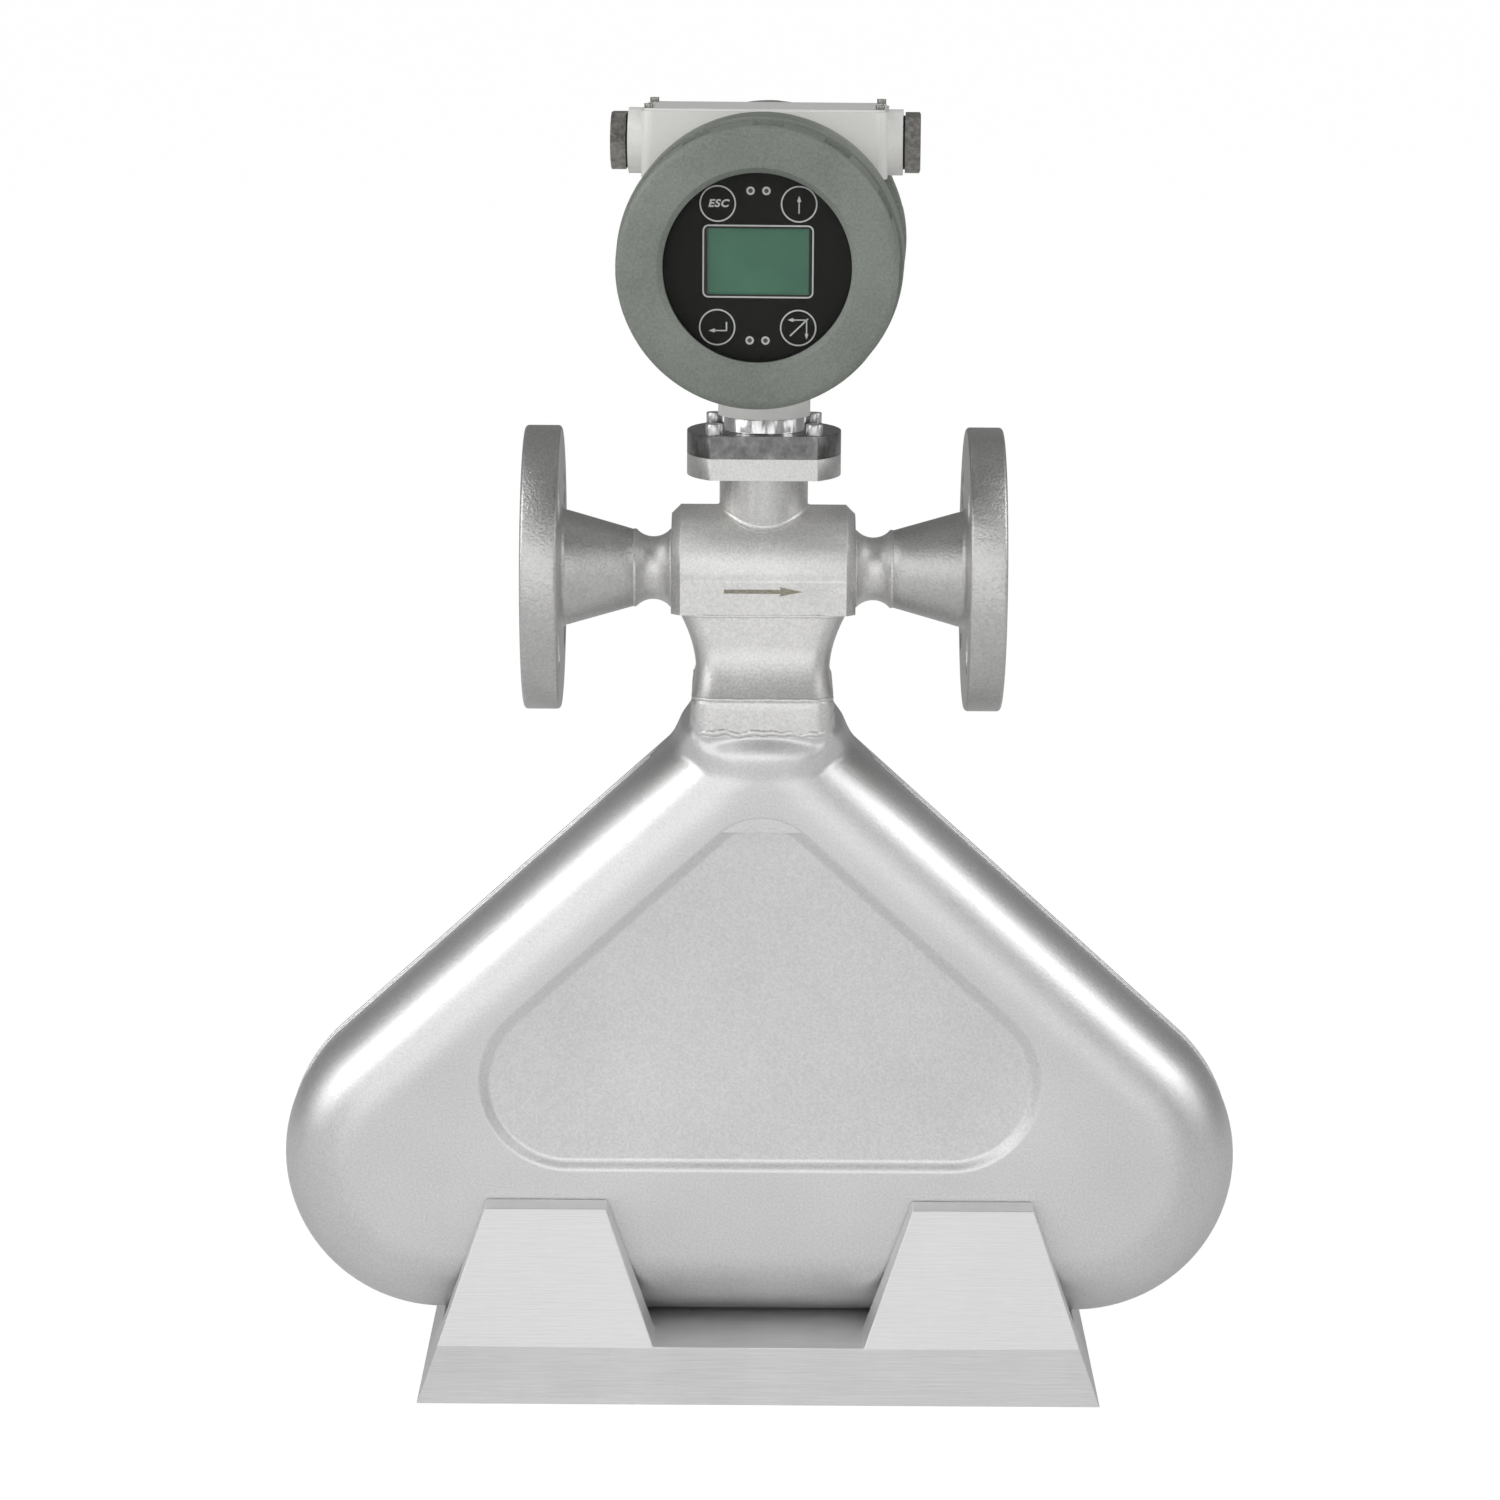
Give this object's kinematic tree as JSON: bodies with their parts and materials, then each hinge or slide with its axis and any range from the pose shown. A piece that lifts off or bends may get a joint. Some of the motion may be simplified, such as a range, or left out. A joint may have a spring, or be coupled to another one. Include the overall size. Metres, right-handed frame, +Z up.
{
  "type": "coriolis flow meter",
  "caption": "Coriolis mass flow meter: flanged manifold over a delta-shaped tube case in a cradle, with a windowed two-chamber transmitter on top.",
  "frame": {"origin": "middle of the cradle's underside", "axes": "+X along the flow towards the outlet, +Y to the rear, -Y the display side, +Z up"},
  "size_m": [0.422, 0.1661, 0.5619],
  "materials": {
    "stainless": "bead-blasted stainless steel",
    "case_steel": "satin stainless sheet",
    "plate_steel": "machined steel",
    "tube_steel": "drawn stainless tube",
    "screw_steel": "bright zinc or stainless",
    "cradle": "brushed",
    "cover_paint": "fine textured powder coat",
    "housing_paint": "smooth powder coat",
    "plug_metal": "dark nickel plate",
    "rubber": "matt",
    "window": "clear",
    "panel_film": "printed film",
    "lcd": "reflective green-grey",
    "lamp": "clear lens",
    "board": "solder mask",
    "brass_pillars": "turned",
    "terminal_plastic": "moulded",
    "coil": "wound enamelled wire on a bobbin",
    "magnet": "coated magnet and bracket",
    "sensor_ceramic": "ceramic",
    "wire": "sleeved bundle"
  },
  "bodies": {
    "meter": {"stand": "cradle", "front_case_shell": "case_steel", "rear_case_shell": "case_steel", "case_rim_band": "case_steel", "neck_collar": "stainless", "sensor_neck": "stainless", "flow_manifold": "stainless", "inlet_flange": "stainless", "outlet_flange": "stainless", "stem_flange": "stainless", "adapter_plate": "plate_steel", "adapter_screws": "screw_steel", "front_flow_tube": "tube_steel", "rear_flow_tube": "tube_steel", "tube_node_plate": "tube_steel", "brace_plates": "tube_steel", "drive_coil": "coil", "drive_magnet": "magnet", "left_pickoff_coil": "coil", "left_pickoff_magnet": "magnet", "right_pickoff_coil": "coil", "right_pickoff_magnet": "magnet", "temperature_sensor": "sensor_ceramic", "signal_feedthrough": "sensor_ceramic", "signal_harness": "wire", "transmitter_housing": "housing_paint", "top_plate": "plate_steel", "top_plate_screws": "screw_steel", "display_panel": "panel_film", "lcd_module": "lcd", "indicator_leds": "lamp", "display_board": "board", "main_board": "board", "power_board": "board", "board_pillars": "brass_pillars", "terminal_block": "terminal_plastic", "terminal_screws": "brass_pillars"},
    "front_seal": {"front_cover_seal": "rubber"},
    "front_cover": {"front_cover": "cover_paint", "window_glass": "window", "window_retainer": "screw_steel"},
    "rear_seal": {"rear_cover_seal": "rubber"},
    "rear_cover": {"rear_cover": "cover_paint"},
    "left_washer": {"left_plug_washer": "rubber"},
    "left_plug": {"left_conduit_plug": "plug_metal"},
    "right_washer": {"right_plug_washer": "rubber"},
    "right_plug": {"right_conduit_plug": "plug_metal"}
  },
  "joints": [
    {"name": "front_cover_travel", "type": "slide", "parent": "meter", "child": "front_seal", "axis": [-0.0401, -0.9992, 0], "range_m": [0, 0.0142]},
    {"name": "front_cover_turn", "type": "hinge", "parent": "front_seal", "child": "front_cover", "pos_m": [0, 0, 0.499], "axis": [-0.0401, -0.9992, 0], "range_deg": [0, 2520]},
    {"name": "rear_cover_travel", "type": "slide", "parent": "meter", "child": "rear_seal", "axis": [0.0401, 0.9992, 0], "range_m": [0, 0.0122]},
    {"name": "rear_cover_turn", "type": "hinge", "parent": "rear_seal", "child": "rear_cover", "pos_m": [0, 0, 0.499], "axis": [0.0401, 0.9992, 0], "range_deg": [0, 2160]},
    {"name": "left_plug_travel", "type": "slide", "parent": "meter", "child": "left_washer", "axis": [-0.9992, 0.0401, 0], "range_m": [0, 0.0107]},
    {"name": "left_plug_turn", "type": "hinge", "parent": "left_washer", "child": "left_plug", "pos_m": [0, 0, 0.5448], "axis": [-0.9992, 0.0401, 0], "range_deg": [0, 2520]},
    {"name": "right_plug_travel", "type": "slide", "parent": "meter", "child": "right_washer", "axis": [0.9992, -0.0401, 0], "range_m": [0, 0.0107]},
    {"name": "right_plug_turn", "type": "hinge", "parent": "right_washer", "child": "right_plug", "pos_m": [0, 0, 0.5448], "axis": [0.9992, -0.0401, 0], "range_deg": [0, 2520]}
  ],
  "couplings": [
    {"joint": "front_cover_travel", "follows": "front_cover_turn", "m_per_rad": 0.00031831},
    {"joint": "rear_cover_travel", "follows": "rear_cover_turn", "m_per_rad": 0.00031831},
    {"joint": "left_plug_travel", "follows": "left_plug_turn", "m_per_rad": 0.00023873},
    {"joint": "right_plug_travel", "follows": "right_plug_turn", "m_per_rad": 0.00023873}
  ]
}
